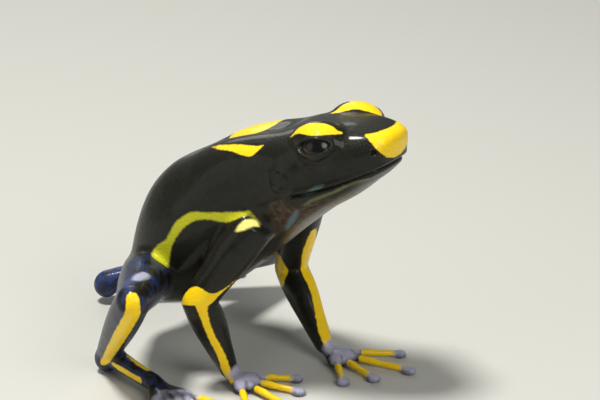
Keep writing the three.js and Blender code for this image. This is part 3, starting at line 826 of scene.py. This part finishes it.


# Black skin with the markings laid over it one after another, each where its distance falls below 0. Among
# them the shaded yellow and the dark of the mouth groove are painted shade, and the lilac is a painted
# highlight.
def skinMaterial():
    look = skinLook
    material, tree, shader = newMaterial("frogSkin", look["shader"])
    place = node(tree, "ShaderNodeTexCoord").outputs["Object"]
    fine = noise(tree, place, look["fineScale"], 2)
    broad = noise(tree, place, look["broadScale"])
    wander = maths(tree, "SUBTRACT", noise(tree, place, look["wanderScale"]), 0.5)
    speckle = maths(tree, "SUBTRACT", fine, 0.5)
    ragged = maths(tree, "ADD", maths(tree, "MULTIPLY", wander, look["wander"]),
                   maths(tree, "MULTIPLY", speckle, look["grain"]))

    def inside(name, softness):
        edge = maths(tree, "ADD", field(tree, name + "Edge"), ragged)
        return levels(tree, edge, -0.5 / softness, 0.5)

    colour = layer(tree, look["black"], levels(tree, broad, *look["oliveLevels"]), look["olive"])
    patches = levels(tree, noise(tree, place, look["throatScale"]), *look["throatLevels"])
    mottle = maths(tree, "MULTIPLY", field(tree, "throatZone"), patches)
    colour = layer(tree, colour, mottle, look["throat"])

    cells = cellDistance(tree, place, look["spotScale"], look["spotSmoothness"])
    spots = maths(tree, "ADD", cells, maths(tree, "MULTIPLY", ragged, look["spotWander"]))
    spots = levels(tree, spots, *look["spotLevels"])
    faint = maths(tree, "MULTIPLY", spots, look["legShare"])
    strong = levels(tree, spots, *look["blueLevels"])
    onLegs = maths(tree, "MULTIPLY", faint, field(tree, "legZone"))
    inBlue = maths(tree, "MULTIPLY", strong, inside("blue", look["blueSoftness"]))
    colour = layer(tree, colour, maths(tree, "MAXIMUM", onLegs, inBlue), look["blue"])

    warm = layer(tree, look["yellow"], broad, look["deepYellow"])
    colour = layer(tree, colour, inside("warm", look["warmSoftness"]), warm)
    dots = levels(tree, cellDistance(tree, place, look["dotScale"]), *look["dotLevels"])
    specks = maths(tree, "MULTIPLY", dots, inside("speck", look["speckSoftness"]))
    colour = layer(tree, colour, maths(tree, "MULTIPLY", specks, look["dotShare"]), look["speck"])
    # Of these layers, the shaded yellow is painted shade and the lilac is a painted highlight.
    for name, softness in look["softness"].items():
        colour = layer(tree, colour, inside(name, softness), look[name])
    # Painted shade: the mouth groove is darkened towards near-black.
    inGrooveShade = maths(tree, "MULTIPLY", field(tree, "grooveShadeZone"), look["grooveShadeShare"])
    feed(tree, layer(tree, colour, inGrooveShade, look["groove"]), shader.inputs["Base Color"])
    feed(tree, levels(tree, fine, *look["roughLevels"]), shader.inputs["Roughness"])

    grains = cellDistance(tree, place, look["grainScale"], look["grainSmoothness"])
    bump = node(tree, "ShaderNodeBump")
    bump.inputs["Strength"].default_value = look["bumpStrength"]
    bump.inputs["Distance"].default_value = look["bumpDistance"]
    feed(tree, maths(tree, "MULTIPLY_ADD", grains, look["grainDepth"], fine), bump.inputs["Height"])
    feed(tree, bump.outputs[0], shader.inputs["Normal"])
    return material


frogSkin.data.materials.append(skinMaterial())
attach(frogSkin, "root")
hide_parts(*[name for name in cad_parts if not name.startswith("eye_")])

# The cornea is its height as a share of the radius, and where it starts and its breadth as cosines of the
# angle from the gaze. Scale in cells per metre, gain and offset as for the skin.
eyeLook = {
    "iris": (0.010, 0.007, 0.005, 1), "fleck": (0.045, 0.026, 0.012, 1), "pupil": (0.0015, 0.0015, 0.002, 1),
    "gaze": (0.28, 0.92, 0.28), "pupilHalf": (1.0, 0.72), "cornea": (0.03, 0.75, 0.25), "backDepth": 0.9,
    "fleckScale": 5200, "fleckLevels": (3.0, -1.3), "pupilLevels": (-9.0, 0.5),
    "shader": {"Roughness": 0.3, "Specular IOR Level": 0.2, "Coat Weight": 0.45, "Coat Roughness": 0.03},
}


# A ball with the cornea raised a little round the gaze and its inner half a little flatter. The pupil's edge
# is kept as sideways and upwards distance over its half breadths, as on an ellipse, less one.
def eyeball(name, side):
    flip = np.array([1, side, 1])
    centre = np.array(eye["centre"]) * flip
    points, faces = ballShell((0, 0, 0), [eye["radius"]] * 3, steps=60, sides=96)
    gaze = unit(np.array(eyeLook["gaze"]) * flip)
    facing = unit(points) @ gaze
    height, start, breadth = eyeLook["cornea"]
    points = points * (1 + height * fade(facing, start, breadth))[:, None]
    points[:, 1] *= np.where(points[:, 1] * side > 0, 1, eyeLook["backDepth"])
    across = np.cross(gaze, (0, 0, 1))
    lift = np.cross(across, gaze)
    a, b = eyeLook["pupilHalf"]
    edge = np.hypot(points @ across / a, points @ lift / b) - 1
    outside = 3  # on the half that faces away from the gaze
    mesh = meshFrom(name, (points + centre + shift) * toMetres, faces)
    store(mesh, "pupilEdge", np.where(facing > 0, edge, outside))
    return addSmooth(name, mesh)


# Dark iris with brown flecks, and the pupil where its distance falls below 0.
def eyeMaterial():
    material, tree, shader = newMaterial("wetEye", eyeLook["shader"])
    place = node(tree, "ShaderNodeTexCoord").outputs["Object"]
    flecks = levels(tree, noise(tree, place, eyeLook["fleckScale"]), *eyeLook["fleckLevels"])
    colour = layer(tree, eyeLook["iris"], flecks, eyeLook["fleck"])
    pupil = levels(tree, field(tree, "pupilEdge"), *eyeLook["pupilLevels"])
    feed(tree, layer(tree, colour, pupil, eyeLook["pupil"]), shader.inputs["Base Color"])
    return material


wetEye = eyeMaterial()
for sideName, side in (("left", 1), ("right", -1)):
    ball = eyeball("eyeball_" + sideName, side)
    ball.data.materials.append(wetEye)
    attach(ball, "root")
    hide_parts("eye_" + sideName)
print("eyes made")

# Floor and room.
stage = {
    "floorSize": 3, "floor": {"Base Color": (0.55, 0.55, 0.52, 1), "Roughness": 0.75},
    "world": (0.86, 0.88, 0.82, 1), "worldStrength": 0.19,
}
bpy.ops.mesh.primitive_plane_add(size=stage["floorSize"], location=(0, 0, 0))
floor = bpy.context.object
floor.name = "floor"
floor.data.materials.append(newMaterial("paleFloor", stage["floor"])[0])

bpy.context.scene.view_settings.view_transform = "Standard"
world = bpy.data.worlds.new("softRoom")
bpy.context.scene.world = world
world.use_nodes = True
background = world.node_tree.nodes["Background"]
background.inputs["Color"].default_value = stage["world"]
background.inputs["Strength"].default_value = stage["worldStrength"]

# Camera: seen from the frog's right front, a little above it. The target, a place low in the right wrist in
# the frog's millimetres, falls on the target pixel of the frame.
view = {
    "azimuth": 31, "elevation": 20, "distance": 0.3, "focalPixels": 2500, "frame": (600, 400),
    "target": (0.0, -6.5, 1.5), "targetPixel": (229, 372), "sensor": 36, "clipStart": 0.01,
}
turn, rise = math.radians(view["azimuth"]), math.radians(view["elevation"])
back = Vector((math.sin(turn) * math.cos(rise), -math.cos(turn) * math.cos(rise), math.sin(rise)))
right = Vector((math.cos(turn), math.sin(turn), 0))
up = back.cross(right)
offX = (view["targetPixel"][0] - view["frame"][0] / 2) / view["focalPixels"] * view["distance"]
offY = (view["frame"][1] / 2 - view["targetPixel"][1]) / view["focalPixels"] * view["distance"]
target = Vector((np.array(view["target"]) + shift) * toMetres)
camera = bpy.data.objects.new("camera", bpy.data.cameras.new("camera"))
bpy.context.scene.collection.objects.link(camera)
camera.location = target + back * view["distance"] - right * offX - up * offY
camera.rotation_euler = back.to_track_quat("Z", "Y").to_euler()
camera.data.sensor_width = view["sensor"]
camera.data.lens = view["sensor"] * view["focalPixels"] / view["frame"][0]
camera.data.clip_start = view["clipStart"]
bpy.context.scene.camera = camera

# Round soft lights, all aimed at one place over the middle: place and breadth in metres, watts, colour.
lightAim = (0.0, 0.0, 0.018)
lights = {
    "key": ((-0.06, -0.085, 0.42), 0.09, 2.0, (1.0, 0.98, 0.93)),
    "front": ((0.34, -0.16, 0.26), 0.24, 0.72, (1.0, 0.99, 0.95)),
    "fill": ((-0.22, -0.34, 0.14), 0.30, 0.18, (0.97, 0.98, 0.95)),
    "rim": ((-0.24, 0.26, 0.20), 0.16, 0.2, (0.97, 1.0, 0.96)),
}
for name, (place, breadth, watts, colour) in lights.items():
    light = bpy.data.lights.new(name, "AREA")
    light.shape = "DISK"
    light.size = breadth
    light.energy = watts
    light.color = colour
    made = bpy.data.objects.new(name, light)
    bpy.context.scene.collection.objects.link(made)
    made.location = place
    made.rotation_euler = (Vector(lightAim) - Vector(place)).to_track_quat("-Z", "Y").to_euler()
print("floor, camera and lights set")
